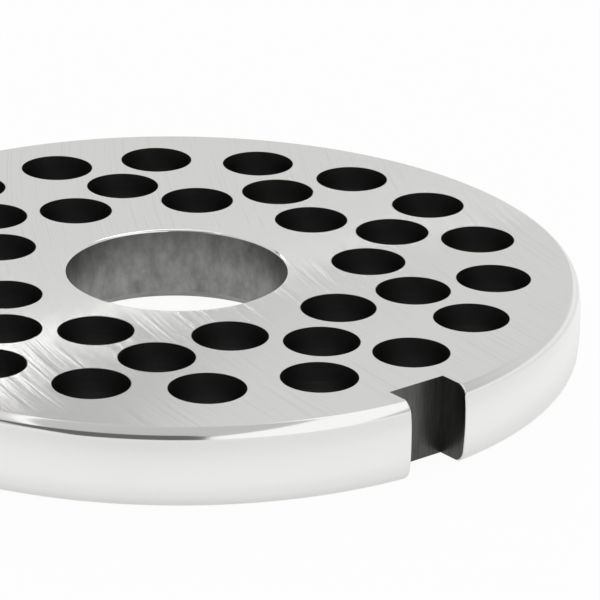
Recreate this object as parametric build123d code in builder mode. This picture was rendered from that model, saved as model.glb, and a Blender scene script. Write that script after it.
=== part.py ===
from build123d import *
from math import cos, radians, sin, sqrt
import os

# Meat grinder plate: one disc of tool steel, turned, drilled, notched and ground flat.
# The origin is the centre of the bore on the underside, +Z runs up the bore to the
# cutting face, and the key notch opens towards -Y. Lengths in millimetres, angles in degrees.

# Turned blank, with a light edge break where the bore meets the cutting face
# and a wide, flat chamfer that leads the worm's spigot in from the underside
plate_diameter = 82.0
plate_thickness = 8.0
bore_diameter = 22.4
bore_edge_break = 0.25
bore_lead_in_reach = 1.6
bore_lead_in_depth = 1.2

# Polished rounding between the rim and each face: an arc that meets the face at a faint crease
rim_round_reach = 0.9
rim_round_depth = 1.3
rim_round_bulge = 0.2

# Key notch that stops the plate from turning in the grinder head
notch_width = 6.7
notch_depth = 3.65

# Drilled passages: like sectors, each with one hole in the inner ring, one in the middle
# ring halfway between two of those, and a pair in the outer ring on either side of them
passage_diameter = 7.6
sector_count = 9
land_around_bore = 4.25
web_between_passages = 1.4

# The drilling jig left the whole field a little off the turned axis, and turned from the notch
field_offset_x = 0.77
field_offset_y = 0.44
field_turn_from_notch = 17.1

# Worked out from the sizes above
rim_radius = plate_diameter / 2
bore_radius = bore_diameter / 2
passage_radius = passage_diameter / 2
passage_pitch = passage_diameter + web_between_passages
notch_direction = -90.0
sector_angle = 360 / sector_count


def ring_one_pitch_outside(ring_radius, turn):
    """Radius of the ring whose holes, turned on by that angle, lie one pitch from this ring's holes."""
    along = ring_radius * cos(radians(turn))
    across = ring_radius * sin(radians(turn))
    return along + sqrt(passage_pitch**2 - across**2)


inner_ring_radius = bore_radius + land_around_bore + passage_radius
middle_ring_radius = ring_one_pitch_outside(inner_ring_radius, sector_angle / 2)
outer_ring_radius = ring_one_pitch_outside(middle_ring_radius, sector_angle / 4)
inner_ring_start = notch_direction + field_turn_from_notch
middle_ring_start = inner_ring_start + sector_angle / 2
outer_ring_start = inner_ring_start + sector_angle / 4
passage_rings = [
    (inner_ring_radius, sector_count, inner_ring_start),
    (middle_ring_radius, sector_count, middle_ring_start),
    (outer_ring_radius, 2 * sector_count, outer_ring_start),
]

with BuildPart() as grinder_plate:
    # The blank's half section, from the bore wall out over the cutting face to the rim
    # and back along the underside
    with BuildSketch(Plane.XZ):
        with BuildLine():
            bore_wall = Line(
                (bore_radius, bore_lead_in_depth),
                (bore_radius, plate_thickness - bore_edge_break),
            )
            Line(bore_wall @ 1, (bore_radius + bore_edge_break, plate_thickness))
            cutting_face = Line(
                (bore_radius + bore_edge_break, plate_thickness),
                (rim_radius - rim_round_reach, plate_thickness),
            )
            rim_wall = Line(
                (rim_radius, plate_thickness - rim_round_depth),
                (rim_radius, rim_round_depth),
            )
            SagittaArc(cutting_face @ 1, rim_wall @ 0, rim_round_bulge)
            underside = Line(
                (rim_radius - rim_round_reach, 0),
                (bore_radius + bore_lead_in_reach, 0),
            )
            SagittaArc(rim_wall @ 1, underside @ 0, rim_round_bulge)
            Line(underside @ 1, bore_wall @ 0)
        make_face()
    revolve(axis=Axis.Z)

    # Drilled passages, straight through from the cutting face
    with Locations((field_offset_x, field_offset_y, plate_thickness)):
        for ring_radius, ring_count, ring_start in passage_rings:
            with PolarLocations(ring_radius, ring_count, start_angle=ring_start):
                Hole(radius=passage_radius)

    # Key notch, milled square through the rim
    with BuildSketch(Plane.XY):
        with Locations((0, notch_depth - rim_radius)):
            Rectangle(notch_width, 2 * notch_depth, align=(Align.CENTER, Align.MAX))
    extrude(amount=plate_thickness, mode=Mode.SUBTRACT)

grinder_plate.part.label = "grinder_plate"

os.makedirs("parts", exist_ok=True)
export_step(grinder_plate.part, "parts/grinder_plate.step")
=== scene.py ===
from math import cos, pi, radians, sin, sqrt

import bmesh
import bpy
from mathutils import Matrix, Vector


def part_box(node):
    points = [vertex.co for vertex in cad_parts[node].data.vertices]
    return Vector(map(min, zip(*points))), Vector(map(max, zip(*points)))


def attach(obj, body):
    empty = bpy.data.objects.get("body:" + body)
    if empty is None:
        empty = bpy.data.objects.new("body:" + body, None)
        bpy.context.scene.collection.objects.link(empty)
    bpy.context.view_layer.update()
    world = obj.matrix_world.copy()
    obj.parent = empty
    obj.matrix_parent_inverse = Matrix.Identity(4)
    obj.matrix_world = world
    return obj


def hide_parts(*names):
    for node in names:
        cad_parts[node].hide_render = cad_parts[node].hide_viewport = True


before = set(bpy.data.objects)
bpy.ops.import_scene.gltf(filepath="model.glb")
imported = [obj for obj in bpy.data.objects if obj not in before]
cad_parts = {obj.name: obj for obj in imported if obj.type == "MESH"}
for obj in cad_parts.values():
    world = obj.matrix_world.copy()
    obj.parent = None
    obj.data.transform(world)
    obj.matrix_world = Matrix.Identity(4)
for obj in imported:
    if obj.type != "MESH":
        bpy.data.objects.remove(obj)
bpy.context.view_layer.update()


# ---------------------------------------------------------------------------
# Core of the plate: a disc of hardened tool steel, flat from the bore to the rim's rounding.
# Both faces are ground with a wheel after hardening, which sweeps fine scratches across
# them. The bore is only reamed, and the worm's spigot turns in it.
# ---------------------------------------------------------------------------

MM = 0.001

plate_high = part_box("grinder_plate")[1]
RIM_RADIUS = plate_high.x
THICKNESS = plate_high.z
ROUND_REACH = 0.9 * MM
CREASE_RADIUS = RIM_RADIUS - ROUND_REACH

BORE_RADIUS = 11.2 * MM
BORE_EDGE_BREAK = 0.25 * MM
BORE_EDGE_STEPS = 6
LEAD_IN_REACH = 1.6 * MM
LEAD_IN_DEPTH = 1.2 * MM

# Steps of a full turn, and the distance under which points are one
TURNED_STEPS = 360
WELD = 0.001 * MM

# The plate's finishes, in the order of its material slots
GROUND, BORED, POLISHED, SCALED, MILLED = range(5)


def turn_strip(bm, outline, finish):
    """Spins an open outline of (radius, height) points round the plate's axis, with that finish."""
    points = [bm.verts.new((radius, 0, height)) for radius, height in outline]
    edges = [bm.edges.new(pair) for pair in zip(points, points[1:])]
    before = set(bm.faces)
    bmesh.ops.spin(bm, geom=points + edges, cent=(0, 0, 0), axis=(0, 0, 1), angle=2 * pi,
                   steps=TURNED_STEPS, use_merge=True)
    for face in set(bm.faces) - before:
        face.material_index = finish


def weld(bm):
    """Joins the points that meet, and turns the faces outwards."""
    bmesh.ops.remove_doubles(bm, verts=bm.verts, dist=WELD)
    bmesh.ops.recalc_face_normals(bm, faces=bm.faces)


def piece_from(bm, name):
    """A new object with that shape, at the origin."""
    mesh = bpy.data.meshes.new(name)
    bm.to_mesh(mesh)
    bm.free()
    piece = bpy.data.objects.new(name, mesh)
    bpy.context.scene.collection.objects.link(piece)
    return piece


def cut_away(piece, cutter):
    """Takes the cutter's volume out of the piece, each new face with the cutter's finish."""
    cut = piece.modifiers.new("cut", "BOOLEAN")
    cut.operation = "DIFFERENCE"
    cut.solver = "EXACT"
    cut.material_mode = "INDEX"
    cut.object = cutter
    bpy.context.view_layer.update()
    uncut = piece.data
    cut_piece = piece.evaluated_get(bpy.context.evaluated_depsgraph_get())
    piece.data = bpy.data.meshes.new_from_object(cut_piece)
    piece.modifiers.clear()
    bpy.data.meshes.remove(uncut)
    bpy.data.meshes.remove(cutter.data)


edge_break = []
for k in range(BORE_EDGE_STEPS + 1):
    roll = pi / 2 * k / BORE_EDGE_STEPS
    edge_radius = BORE_RADIUS + BORE_EDGE_BREAK * (1 - cos(roll))
    edge_height = THICKNESS - BORE_EDGE_BREAK * (1 - sin(roll))
    edge_break.append((edge_radius, edge_height))

bore_foot = (BORE_RADIUS, LEAD_IN_DEPTH)
bore_top = (BORE_RADIUS, THICKNESS - BORE_EDGE_BREAK)
face_inside = (BORE_RADIUS + BORE_EDGE_BREAK, THICKNESS)
face_outside = (CREASE_RADIUS, THICKNESS)
underside_outside = (CREASE_RADIUS, 0)
underside_inside = (BORE_RADIUS + LEAD_IN_REACH, 0)

core_bm = bmesh.new()
turn_strip(core_bm, [bore_foot, bore_top], BORED)
turn_strip(core_bm, edge_break, POLISHED)
turn_strip(core_bm, [face_inside, face_outside], GROUND)
turn_strip(core_bm, [face_outside, underside_outside], POLISHED)
turn_strip(core_bm, [underside_outside, underside_inside], GROUND)
turn_strip(core_bm, [underside_inside, bore_foot], BORED)
weld(core_bm)
plate = piece_from(core_bm, "plate_steel")


def rgb(code):
    """Linear colour of an sRGB hex code."""
    channels = [int(code[k:k + 2], 16) / 255 for k in (1, 3, 5)]
    return [c / 12.92 if c <= 0.04045 else ((c + 0.055) / 1.055) ** 2.4 for c in channels] + [1]


def node(tree, kind, settings=None, **inputs):
    """Adds one node. Settings are its own properties; an input takes a value or another's socket.

    An input is named as in Blender, with _ for a space, or by its number after a _.
    """
    made = tree.nodes.new(kind)
    for name, value in (settings or {}).items():
        setattr(made, name, value)
    for name, value in inputs.items():
        socket = made.inputs[int(name[1:])] if name[1:].isdigit() else made.inputs[name.replace("_", " ")]
        if isinstance(value, bpy.types.NodeSocket):
            tree.links.new(value, socket)
        else:
            socket.default_value = value
    return made


def new_material(name):
    """An empty material and its node tree."""
    material = bpy.data.materials.new(name)
    material.use_nodes = True
    material.node_tree.nodes.clear()
    return material, material.node_tree


# Wheel-ground steel, bright and all but neutral. The scratches blur what it mirrors into a
# stripe across them, so a lamp shows as a fan of light only where they run the right way.
STEEL_COLOUR = "#f0f0ee"
GROUND_ROUGHNESS = 0.18

# How the scratches run, in millimetres, on axes turned by the way the plate was fed: from a
# slant at the middle they curve evenly, and kink where two passes of the wheel meet.
FEED_TURN = radians(5)
SWEEP_MIDDLE = -6.0
SWEEP_SLANT = 0.26
SWEEP_CURVE = 0.006
SWEEP_KINK = 0.09
KINK_REACH = 3.5

# Real scratches of this grit are about 0.05 mm wide, and are drawn four times as coarse, to
# show. Sizes are in millimetres. Each scratch leans a little off the sweep, and the deepest
# are painted slightly darker: painted shade in their grooves.
GRIT_WIDTH = 0.22
GRIT_LENGTH = 25.0
GRIT_LEAN = 0.16
GRIT_LOW = 0.25
GRIT_HIGH = 0.75
DEEP_SCRATCH = 0.36
SHALLOW_SCRATCH = 0.44
DEEP_SCRATCH_PAINTED_SHADE = 0.93

ground, tree = new_material("tool_steel_wheel_ground")
place = node(tree, "ShaderNodeTexCoord").outputs["Object"]
place_mm = node(tree, "ShaderNodeVectorMath", {"operation": "SCALE"}, Vector=place, Scale=1 / MM)
turned = node(tree, "ShaderNodeVectorRotate", {"rotation_type": "Z_AXIS"},
              Vector=place_mm.outputs[0], Angle=FEED_TURN)
axes = node(tree, "ShaderNodeSeparateXYZ", Vector=turned.outputs[0])
off = node(tree, "ShaderNodeMath", {"operation": "SUBTRACT"}, _0=axes.outputs["Y"], _1=SWEEP_MIDDLE)
off_squared = node(tree, "ShaderNodeMath", {"operation": "MULTIPLY"},
                   _0=off.outputs[0], _1=off.outputs[0])
under_root = node(tree, "ShaderNodeMath", {"operation": "ADD"},
                  _0=off_squared.outputs[0], _1=KINK_REACH ** 2)
root = node(tree, "ShaderNodeMath", {"operation": "SQRT"}, _0=under_root.outputs[0])

# Slope of a scratch, across its run, and how far across the sweep a point lies
kink = node(tree, "ShaderNodeMath", {"operation": "DIVIDE"}, _0=off.outputs[0], _1=root.outputs[0])
curve = node(tree, "ShaderNodeMath", {"operation": "MULTIPLY_ADD"},
             _0=off.outputs[0], _1=SWEEP_CURVE, _2=SWEEP_SLANT)
slope = node(tree, "ShaderNodeMath", {"operation": "MULTIPLY_ADD"},
             _0=kink.outputs[0], _1=SWEEP_KINK, _2=curve.outputs[0])
slanted = node(tree, "ShaderNodeMath", {"operation": "MULTIPLY_ADD"},
               _0=off.outputs[0], _1=-SWEEP_SLANT, _2=axes.outputs["X"])
curved = node(tree, "ShaderNodeMath", {"operation": "MULTIPLY_ADD"},
              _0=off_squared.outputs[0], _1=-SWEEP_CURVE / 2, _2=slanted.outputs[0])
across = node(tree, "ShaderNodeMath", {"operation": "MULTIPLY_ADD"},
              _0=root.outputs[0], _1=-SWEEP_KINK, _2=curved.outputs[0])

# The single scratches, long noise drawn out along the sweep
across_grit = node(tree, "ShaderNodeMath", {"operation": "DIVIDE"}, _0=across.outputs[0], _1=GRIT_WIDTH)
along_grit = node(tree, "ShaderNodeMath", {"operation": "DIVIDE"}, _0=axes.outputs["Y"], _1=GRIT_LENGTH)
grit_place = node(tree, "ShaderNodeCombineXYZ",
                  X=across_grit.outputs[0], Y=along_grit.outputs[0], Z=axes.outputs["Z"])
grit = node(tree, "ShaderNodeTexNoise", {"noise_dimensions": "3D"}, Vector=grit_place.outputs[0],
            Scale=1.0, Detail=2.0, Roughness=0.7)

# The blur's own direction is square to the scratch, and leans with it
scratch_lean = node(tree, "ShaderNodeMapRange", {"clamp": False}, Value=grit.outputs["Fac"],
                    From_Min=GRIT_LOW, From_Max=GRIT_HIGH, To_Min=-GRIT_LEAN, To_Max=GRIT_LEAN)
square_to = node(tree, "ShaderNodeCombineXYZ", X=-1.0, Y=slope.outputs[0], Z=0.0)
along_way = node(tree, "ShaderNodeCombineXYZ", X=slope.outputs[0], Y=1.0, Z=0.0)
swung = node(tree, "ShaderNodeVectorMath", {"operation": "SCALE"},
             Vector=along_way.outputs[0], Scale=scratch_lean.outputs[0])
leaning = node(tree, "ShaderNodeVectorMath", {"operation": "ADD"},
               _0=square_to.outputs[0], _1=swung.outputs[0])
blur_way = node(tree, "ShaderNodeVectorRotate", {"rotation_type": "Z_AXIS"},
                Vector=leaning.outputs[0], Angle=-FEED_TURN)

# Painted shade: the deepest scratches get a darker colour
painted_groove_shade = node(tree, "ShaderNodeMapRange", Value=grit.outputs["Fac"],
                   From_Min=DEEP_SCRATCH, From_Max=SHALLOW_SCRATCH, To_Min=DEEP_SCRATCH_PAINTED_SHADE, To_Max=1.0)
tint = node(tree, "ShaderNodeVectorMath", {"operation": "SCALE"},
            Vector=rgb(STEEL_COLOUR)[:3], Scale=painted_groove_shade.outputs[0])
shader = node(tree, "ShaderNodeBsdfPrincipled", Base_Color=tint.outputs[0], Metallic=1.0,
              Roughness=GROUND_ROUGHNESS, Anisotropic=1.0, Tangent=blur_way.outputs[0])
node(tree, "ShaderNodeOutputMaterial", Surface=shader.outputs[0])

# Reamed steel under a thin skin from hardening: a dull mid grey, softly blotched. The
# blotches are 1.3 mm wide, as on real scale, and a little taller.
BORED_COLOURS = ("#858583", "#acacaa")
BORED_ROUGHNESS = 0.33
BLOTCH_WIDTH = 1.3
BLOTCH_SQUEEZE = 0.6
NOISE_LOW = 0.3
NOISE_HIGH = 0.7

bored, tree = new_material("tool_steel_reamed")
place = node(tree, "ShaderNodeTexCoord").outputs["Object"]
drawn = node(tree, "ShaderNodeVectorMath", {"operation": "MULTIPLY"},
             _0=place, _1=(1 / MM, 1 / MM, BLOTCH_SQUEEZE / MM))
blotch = node(tree, "ShaderNodeTexNoise", Vector=drawn.outputs[0], Scale=1 / BLOTCH_WIDTH,
              Detail=5.0, Roughness=0.65)
paleness = node(tree, "ShaderNodeMapRange", Value=blotch.outputs["Fac"],
                From_Min=NOISE_LOW, From_Max=NOISE_HIGH)
mottled = node(tree, "ShaderNodeMix", {"data_type": "RGBA"}, _0=paleness.outputs[0],
               _6=rgb(BORED_COLOURS[0]), _7=rgb(BORED_COLOURS[1]))
shader = node(tree, "ShaderNodeBsdfPrincipled", Base_Color=mottled.outputs[2], Metallic=1.0,
              Roughness=BORED_ROUGHNESS)
node(tree, "ShaderNodeOutputMaterial", Surface=shader.outputs[0])


# ---------------------------------------------------------------------------
# Passages: 36 holes that the meat is pressed through, drilled straight before hardening.
# They stand in three rings round a centre slightly off the bore's, with an equal web
# between neighbours, and their mouths are left all but sharp, to shear against the knife.
# ---------------------------------------------------------------------------

PASSAGE_RADIUS = 3.8 * MM
PASSAGE_EDGE = 0.01 * MM
PASSAGE_STEPS = 96
WEB = 1.4 * MM
PITCH = 2 * PASSAGE_RADIUS + WEB
SECTORS = 9
SECTOR_TURN = 2 * pi / SECTORS
LAND_AROUND_BORE = 4.25 * MM
FIELD_CENTRE = Vector((0.77 * MM, 0.44 * MM, 0))
NOTCH_DIRECTION = radians(-90)
FIELD_START = NOTCH_DIRECTION + radians(17.1)


def ring_one_pitch_outside(ring, turn):
    """Radius of the ring whose holes, turned on by that angle, lie one pitch from this ring's holes."""
    return ring * cos(turn) + sqrt(PITCH ** 2 - (ring * sin(turn)) ** 2)


INNER_RING = BORE_RADIUS + LAND_AROUND_BORE + PASSAGE_RADIUS
MIDDLE_RING = ring_one_pitch_outside(INNER_RING, SECTOR_TURN / 2)
OUTER_RING = ring_one_pitch_outside(MIDDLE_RING, SECTOR_TURN / 4)
RINGS = (
    (INNER_RING, SECTORS, 0),
    (MIDDLE_RING, SECTORS, SECTOR_TURN / 2),
    (OUTER_RING, 2 * SECTORS, SECTOR_TURN / 4),
)

passage_wall = PASSAGE_RADIUS - PASSAGE_EDGE
passage_mouth = PASSAGE_RADIUS + PASSAGE_EDGE
drill_outline = [
    (0, -PASSAGE_EDGE),
    (passage_mouth, -PASSAGE_EDGE),
    (passage_wall, PASSAGE_EDGE),
    (passage_wall, THICKNESS - PASSAGE_EDGE),
    (passage_mouth, THICKNESS + PASSAGE_EDGE),
    (0, THICKNESS + PASSAGE_EDGE),
]
drill_bm = bmesh.new()
for ring, count, start in RINGS:
    for k in range(count):
        direction = FIELD_START + start + 2 * pi * k / count
        centre = FIELD_CENTRE + Vector((ring * cos(direction), ring * sin(direction), 0))
        outline = [centre + Vector((radius, 0, height)) for radius, height in drill_outline]
        points = [drill_bm.verts.new(point) for point in outline]
        edges = [drill_bm.edges.new(pair) for pair in zip(points, points[1:])]
        bmesh.ops.spin(drill_bm, geom=points + edges, cent=centre, axis=(0, 0, 1), angle=2 * pi,
                       steps=PASSAGE_STEPS, use_merge=True)
for face in drill_bm.faces:
    face.material_index = SCALED
weld(drill_bm)
cut_away(plate, piece_from(drill_bm, "drill"))

# Drilled steel with its quench scale left on: near black, with a faint sheen that picks out
# the drill's rings. A drill feeds about 0.1 mm a turn. The rings are drawn three times as
# far apart, to show, and wander a little round the wall.
SCALED_COLOUR = "#626262"
SCALED_ROUGHNESS = 0.36
RING_PITCH = 0.34
RING_WANDER = 0.06
RING_HEIGHT = 0.02 * MM

scaled, tree = new_material("tool_steel_quench_scale")
place = node(tree, "ShaderNodeTexCoord").outputs["Object"]
flattened = node(tree, "ShaderNodeVectorMath", {"operation": "MULTIPLY"},
                 _0=place, _1=(RING_WANDER / MM, RING_WANDER / MM, 1 / MM))
rings = node(tree, "ShaderNodeTexNoise", Vector=flattened.outputs[0], Scale=1 / RING_PITCH,
             Detail=2.0, Roughness=0.5)
relief = node(tree, "ShaderNodeBump", Height=rings.outputs["Fac"], Distance=RING_HEIGHT, Strength=1.0)
shader = node(tree, "ShaderNodeBsdfPrincipled", Base_Color=rgb(SCALED_COLOUR), Metallic=1.0,
              Roughness=SCALED_ROUGHNESS, Normal=relief.outputs[0])
node(tree, "ShaderNodeOutputMaterial", Surface=shader.outputs[0])


# ---------------------------------------------------------------------------
# Rim: the plate's outside wall, which the grinder's body holds. It is turned, polished on a
# belt and very slightly crowned, and rounded the same above and below, so that the plate
# slides in either way up.
# ---------------------------------------------------------------------------

ROUND_DEPTH = 1.3 * MM
ROUND_BULGE = 0.2 * MM
ROUND_STEPS = 16
CROWN = 0.12 * MM
CROWN_POWER = 3
CROWN_STEPS = 12
HALF_WALL = THICKNESS / 2 - ROUND_DEPTH

# What tells the core's outer wall, which the turned rim replaces: its faces stand upright,
# outside this radius
WALL_INSIDE = 0.99 * CREASE_RADIUS
UPRIGHT = 0.1


def bulged_arc(start, end, bulge, steps):
    """Points from start to end along the arc that stands out from their chord by bulge."""
    start, end = Vector(start), Vector(end)
    chord = end - start
    outward = Vector((-chord.y, chord.x)).normalized()
    reach = chord.length / 2
    arc_radius = (reach * reach + bulge * bulge) / (2 * bulge)
    centre = (start + end) / 2 + outward * (bulge - arc_radius)
    first = start - centre
    sweep = first.angle_signed(end - centre)
    return [centre + Matrix.Rotation(-sweep * k / steps, 2) @ first for k in range(steps + 1)]


wall_top = (RIM_RADIUS - CROWN, THICKNESS - ROUND_DEPTH)
upper_round = bulged_arc(face_outside, wall_top, ROUND_BULGE, ROUND_STEPS)
lower_round = [Vector((point.x, THICKNESS - point.y)) for point in reversed(upper_round)]
crowned_wall = []
for k in range(1, CROWN_STEPS):
    rise = 1 - 2 * k / CROWN_STEPS
    drop = CROWN * abs(rise) ** CROWN_POWER
    crowned_wall.append(Vector((RIM_RADIUS - drop, THICKNESS / 2 + HALF_WALL * rise)))

rim_bm = bmesh.new()
rim_bm.from_mesh(plate.data)
blank_wall = []
for face in rim_bm.faces:
    outside = face.calc_center_median().xy.length > WALL_INSIDE
    if face.material_index == POLISHED and abs(face.normal.z) < UPRIGHT and outside:
        blank_wall.append(face)
bmesh.ops.delete(rim_bm, geom=blank_wall, context="FACES")
turn_strip(rim_bm, upper_round + crowned_wall + lower_round, POLISHED)
weld(rim_bm)
rim_bm.to_mesh(plate.data)
rim_bm.free()

# Belt-polished steel: clear, soft-edged reflections on the roundings, and on the wall, which
# rubs in the body's seat, a satin that only carries broad light and shade
ROUNDING_ROUGHNESS = 0.11
WALL_ROUGHNESS = 0.24
SATIN_ENDS = HALF_WALL - 0.1 * MM
POLISH_BEGINS = HALF_WALL + 0.3 * MM

polished, tree = new_material("tool_steel_belt_polished")
place = node(tree, "ShaderNodeTexCoord").outputs["Object"]
level = node(tree, "ShaderNodeSeparateXYZ", Vector=place).outputs["Z"]
from_middle = node(tree, "ShaderNodeMath", {"operation": "SUBTRACT"}, _0=level, _1=THICKNESS / 2)
distance = node(tree, "ShaderNodeMath", {"operation": "ABSOLUTE"}, _0=from_middle.outputs[0])
dullness = node(tree, "ShaderNodeMapRange", {"interpolation_type": "SMOOTHSTEP"},
                Value=distance.outputs[0], From_Min=SATIN_ENDS, From_Max=POLISH_BEGINS,
                To_Min=WALL_ROUGHNESS, To_Max=ROUNDING_ROUGHNESS)
shader = node(tree, "ShaderNodeBsdfPrincipled", Base_Color=rgb(STEEL_COLOUR), Metallic=1.0,
              Roughness=dullness.outputs[0])
node(tree, "ShaderNodeOutputMaterial", Surface=shader.outputs[0])


# ---------------------------------------------------------------------------
# Key notch: one square slot milled through the rim. A key in the grinder's body sits in it
# and keeps the plate from turning with the knife. Its corners with the rim are broken by
# hand, so that the plate slides in.
# ---------------------------------------------------------------------------

NOTCH_WIDTH = 6.7 * MM
NOTCH_DEPTH = 3.65 * MM
NOTCH_EDGE = 0.16 * MM
NOTCH_EDGE_STEPS = 3

notch_bm = bmesh.new()
bmesh.ops.create_cube(notch_bm, size=1.0)
bmesh.ops.scale(notch_bm, vec=(NOTCH_WIDTH, 2 * NOTCH_DEPTH, 2 * THICKNESS), verts=notch_bm.verts)
bmesh.ops.translate(notch_bm, vec=(0, -RIM_RADIUS, THICKNESS / 2), verts=notch_bm.verts)
for face in notch_bm.faces:
    face.material_index = MILLED
cut_away(plate, piece_from(notch_bm, "notch_cutter"))

edge_bm = bmesh.new()
edge_bm.from_mesh(plate.data)
lips = []
for edge in edge_bm.edges:
    if sorted(face.material_index for face in edge.link_faces) == [POLISHED, MILLED]:
        lips.append(edge)
bmesh.ops.bevel(edge_bm, geom=lips, offset=NOTCH_EDGE, segments=NOTCH_EDGE_STEPS, profile=0.5,
                affect="EDGES", material=POLISHED)
edge_bm.to_mesh(plate.data)
edge_bm.free()

# Milled steel, darkened in hardening: matt dark grey, with the cutter's upright marks at
# their real spacing, three to the millimetre
MILLED_COLOUR = "#666665"
MILLED_ROUGHNESS = 0.33
MARKS_PER_MM = 3.0
MARK_SQUEEZE = 0.12
MARK_SHADES = (0.75, 1.15)

milled, tree = new_material("tool_steel_milled")
place = node(tree, "ShaderNodeTexCoord").outputs["Object"]
drawn = node(tree, "ShaderNodeVectorMath", {"operation": "MULTIPLY"},
             _0=place, _1=(1 / MM, 1 / MM, MARK_SQUEEZE / MM))
marks = node(tree, "ShaderNodeTexNoise", Vector=drawn.outputs[0], Scale=MARKS_PER_MM,
             Detail=3.0, Roughness=0.6)
tone = node(tree, "ShaderNodeMapRange", Value=marks.outputs["Fac"],
            From_Min=NOISE_LOW, From_Max=NOISE_HIGH, To_Min=MARK_SHADES[0], To_Max=MARK_SHADES[1])
tint = node(tree, "ShaderNodeVectorMath", {"operation": "SCALE"},
            Vector=rgb(MILLED_COLOUR)[:3], Scale=tone.outputs[0])
shader = node(tree, "ShaderNodeBsdfPrincipled", Base_Color=tint.outputs[0], Metallic=1.0,
              Roughness=MILLED_ROUGHNESS)
node(tree, "ShaderNodeOutputMaterial", Surface=shader.outputs[0])


# ---------------------------------------------------------------------------
# The finished plate: one piece of steel, with the five finishes above. Every cut is smooth
# round its curve, and meets the flat faces in a crisp edge, as grinding leaves it.
# ---------------------------------------------------------------------------

SHARP_FROM = radians(16)
FLAT = 0.9999

for material in (ground, bored, polished, scaled, milled):
    plate.data.materials.append(material)

finish_bm = bmesh.new()
finish_bm.from_mesh(plate.data)
for face in finish_bm.faces:
    face.smooth = True
for edge in finish_bm.edges:
    flat_sides = [abs(face.normal.z) > FLAT for face in edge.link_faces]
    edge.smooth = all(flat_sides) == any(flat_sides) and edge.calc_face_angle(pi) < SHARP_FROM
finish_bm.to_mesh(plate.data)
finish_bm.free()

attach(plate, "root")
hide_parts("grinder_plate")


# ---------------------------------------------------------------------------
# Camera: a long lens a little above the plate, turned so that the key notch shows on the
# right and the far left of the plate is out of view.
# ---------------------------------------------------------------------------

CAMERA_PLACE = Vector((-244.16, -316.79, 164.51)) * MM
CAMERA_HEADING = radians(50.5807)
CAMERA_PITCH = radians(21.771)
CAMERA_ROLL = radians(0.9683)
SENSOR_WIDTH = 36.0
FOCAL_LENGTH = 254.12

camera_data = bpy.data.cameras.new("camera")
camera_data.sensor_width = SENSOR_WIDTH
camera_data.lens = FOCAL_LENGTH
camera = bpy.data.objects.new("camera", camera_data)
bpy.context.scene.collection.objects.link(camera)
away = Vector((cos(CAMERA_HEADING), sin(CAMERA_HEADING), 0))
rightward = Vector((sin(CAMERA_HEADING), -cos(CAMERA_HEADING), 0))
forward = away * cos(CAMERA_PITCH) - Vector((0, 0, sin(CAMERA_PITCH)))
upright = rightward.cross(forward)
right = rightward * cos(CAMERA_ROLL) + upright * sin(CAMERA_ROLL)
up = upright * cos(CAMERA_ROLL) - rightward * sin(CAMERA_ROLL)
camera.matrix_world = Matrix.Translation(CAMERA_PLACE) @ Matrix((right, up, -forward)).transposed().to_4x4()
bpy.context.scene.camera = camera
bpy.context.scene.view_settings.view_transform = "Standard"


# ---------------------------------------------------------------------------
# Floor: a sweep of matt white paper that the plate lies on, white to the camera. In the
# polished rim it shows a painted glow, brightest a few millimetres out, with painted shade
# where the plate touches it and a painted fade further away.
# ---------------------------------------------------------------------------

FLOOR_HALF_WIDTH = 3.0
PAPER_COLOUR = "#f9f9f9"
WHITE = "#ffffff"
GLOW_TO_CAMERA = 0.95
GLOW_IN_PAINTED_CONTACT_SHADE = 0.45
GLOW_BESIDE = 0.88
GLOW_IN_PAINTED_FAR_FADE = 0.4
CONTACT = RIM_RADIUS - 1 * MM
BESIDE_FROM = RIM_RADIUS + 4 * MM
BESIDE_TO = RIM_RADIUS + 7 * MM
FAR = RIM_RADIUS + 25 * MM

floor_bm = bmesh.new()
bmesh.ops.create_grid(floor_bm, x_segments=1, y_segments=1, size=FLOOR_HALF_WIDTH)
floor = piece_from(floor_bm, "studio_floor")

paper, tree = new_material("white_paper_sweep")
path = node(tree, "ShaderNodeLightPath")
place = node(tree, "ShaderNodeTexCoord").outputs["Object"]
on_floor = node(tree, "ShaderNodeVectorMath", {"operation": "MULTIPLY"}, _0=place, _1=(1, 1, 0))
from_axis = node(tree, "ShaderNodeVectorMath", {"operation": "LENGTH"}, _0=on_floor.outputs[0])
# Painted shade near the plate and a painted fade far from it, in the glow that the metal mirrors
painted_contact_shade = node(tree, "ShaderNodeMapRange", Value=from_axis.outputs["Value"],
              From_Min=CONTACT, From_Max=BESIDE_FROM, To_Min=GLOW_IN_PAINTED_CONTACT_SHADE, To_Max=GLOW_BESIDE)
painted_far_fade = node(tree, "ShaderNodeMapRange", Value=from_axis.outputs["Value"],
               From_Min=BESIDE_TO, From_Max=FAR, To_Min=1.0, To_Max=GLOW_IN_PAINTED_FAR_FADE)
to_metal = node(tree, "ShaderNodeMath", {"operation": "MULTIPLY"},
                _0=painted_contact_shade.outputs[0], _1=painted_far_fade.outputs[0])
to_camera = node(tree, "ShaderNodeMath", {"operation": "MULTIPLY"},
                 _0=path.outputs["Is Camera Ray"], _1=GLOW_TO_CAMERA)
share = node(tree, "ShaderNodeMath", {"operation": "MULTIPLY_ADD"},
             _0=path.outputs["Is Glossy Ray"], _1=to_metal.outputs[0], _2=to_camera.outputs[0])
matt = node(tree, "ShaderNodeBsdfDiffuse", Color=rgb(PAPER_COLOUR))
glow = node(tree, "ShaderNodeEmission", Color=rgb(WHITE), Strength=1.0)
mix = node(tree, "ShaderNodeMixShader", Fac=share.outputs[0], _1=matt.outputs[0], _2=glow.outputs[0])
node(tree, "ShaderNodeOutputMaterial", Surface=mix.outputs[0])
floor.data.materials.append(paper)


# ---------------------------------------------------------------------------
# Light: a grey studio all round, white to the camera, with the few lamps and cards that
# polished steel needs to show its form. A direction in it is given by three cosines: front
# is towards the camera's side, side is to the camera's right, and height is up.
# ---------------------------------------------------------------------------

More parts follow.
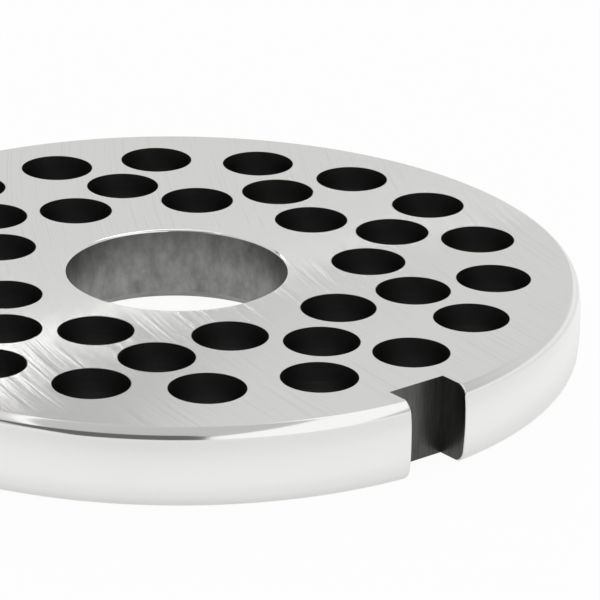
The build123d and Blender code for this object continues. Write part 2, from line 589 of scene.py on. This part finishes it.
world = bpy.data.worlds.new("studio")
world.use_nodes = True
tree = world.node_tree
tree.nodes.clear()
from_plate = node(tree, "ShaderNodeTexCoord").outputs["Generated"]
front = node(tree, "ShaderNodeVectorMath", {"operation": "DOT_PRODUCT"},
             _0=from_plate, _1=-away).outputs["Value"]
side = node(tree, "ShaderNodeVectorMath", {"operation": "DOT_PRODUCT"},
            _0=from_plate, _1=rightward).outputs["Value"]
height = node(tree, "ShaderNodeSeparateXYZ", Vector=from_plate).outputs["Z"]
studio_way = node(tree, "ShaderNodeCombineXYZ", X=front, Y=side, Z=height).outputs[0]


def fade(value, start, end):
    """A soft step from 0 at start to 1 at end."""
    step = node(tree, "ShaderNodeMapRange", {"interpolation_type": "SMOOTHSTEP"},
                Value=value, From_Min=start, From_Max=end)
    return step.outputs["Result"]


def times(*values):
    """The product of the values: where all of them are 1, it is 1."""
    product = values[0]
    for value in values[1:]:
        product = node(tree, "ShaderNodeMath", {"operation": "MULTIPLY"}, _0=product, _1=value).outputs[0]
    return product


def towards(direction):
    """How far a place lies in a direction given by front, side and height."""
    return node(tree, "ShaderNodeVectorMath", {"operation": "DOT_PRODUCT"},
                _0=studio_way, _1=direction).outputs["Value"]


def lay(level, area, under):
    """Lays a level of light over what lies under it, where area is 1."""
    return node(tree, "ShaderNodeMapRange", Value=area, To_Min=under, To_Max=level).outputs["Result"]


# The room: grey, a little lighter low behind the plate, pale at the horizon
ROOM = 0.57
BACKDROP = 0.70
HORIZON = 0.92
behind = fade(front, 0.1, -0.5)
under_ceiling = fade(height, 0.8, 0.5)
near_horizon = fade(height, 0.28, 0.08)
sky = lay(BACKDROP, times(behind, under_ceiling), ROOM)
sky = lay(HORIZON, near_horizon, sky)

# A soft light high behind the plate, which lights the floor, and a small lamp below it, for
# the thin bright line on the bore's far edge
OVERHEAD = 1.5
overhead = times(fade(front, -0.08, -0.14), fade(height, 0.80, 0.84))
sky = lay(OVERHEAD, overhead, sky)
LAMP = 4.0
lamp_left = fade(side, -0.3, -0.27)
lamp_right = fade(side, 0.3, 0.27)
lamp = times(fade(front, -0.56, -0.6), lamp_left, lamp_right, fade(height, 0.68, 0.71))
sky = lay(LAMP, lamp, sky)

# A window on the left, brightest along its near edge, for the glint on the rim's rounding
WINDOW = 0.72
WINDOW_EDGE = 1.15
leftward = towards((-0.438, -0.827, -0.351))
window = times(fade(leftward, -0.06, -0.04), fade(height, 0.3, 0.45))
sky = lay(WINDOW, window, sky)
sky = lay(WINDOW_EDGE, times(window, fade(leftward, 0.03, 0.0)), sky)

# A softbox in front, on the right, which the rounding shows as a white wedge
SOFTBOX = 1.05
softbox_left = fade(towards((-0.287, 1.0, -0.718)), -0.336, -0.316)
softbox_top = fade(towards((1.0, -0.8, 1.0)), 0.0, 0.15)
softbox_foot = fade(height, 0.0, 0.04)
sky = lay(SOFTBOX, times(softbox_left, softbox_top, softbox_foot), sky)

# A dark card in front, beside the softbox, for the dark line under the rounding
CARD = 0.14
card_back = fade(front, 0.1, 0.3)
card_top = fade(height, 0.54, 0.5)
card_right = fade(side, 0.19, 0.16)
card_upper_right = fade(towards((0.0, 1.0, 0.65)), 0.43, 0.40)
card_left = fade(towards((0.0, 1.25, 1.0)), -0.54, -0.50)
sky = lay(CARD, times(card_back, card_top, card_right, card_upper_right, card_left), sky)

# A thin lamp tube behind, on the left. It lies on a cone round the scratches' direction at the
# bore, so that they catch it only there, as the two fans of light.
TUBE = 13.0
along_scratch = towards((-0.946, -0.324, 0.0))
tube_upper = fade(along_scratch, 0.873, 0.876)
tube_lower = fade(along_scratch, 0.886, 0.883)
tube_right = fade(side, -0.06, -0.10)
tube_left = fade(side, -0.46, -0.42)
tube = times(tube_upper, tube_lower, tube_right, tube_left, fade(height, 0.42, 0.44))
sky = lay(TUBE, tube, sky)

# The gap above the tube, on the cone that the scratches left of the passages lie on, where
# they look dark
GAP = 0.05
along_scratch = towards((-0.885, -0.466, 0.0))
gap_upper = fade(along_scratch, 0.818, 0.824)
gap_lower = fade(along_scratch, 0.852, 0.846)
gap = times(gap_upper, gap_lower, fade(side, -0.05, -0.07), fade(height, 0.41, 0.42))
sky = lay(GAP, gap, sky)

to_camera = node(tree, "ShaderNodeLightPath").outputs["Is Camera Ray"]
strength = node(tree, "ShaderNodeMapRange", Value=to_camera, To_Min=sky, To_Max=1.0)
background = node(tree, "ShaderNodeBackground", Color=rgb(WHITE), Strength=strength.outputs["Result"])
node(tree, "ShaderNodeOutputWorld", Surface=background.outputs[0])
bpy.context.scene.world = world
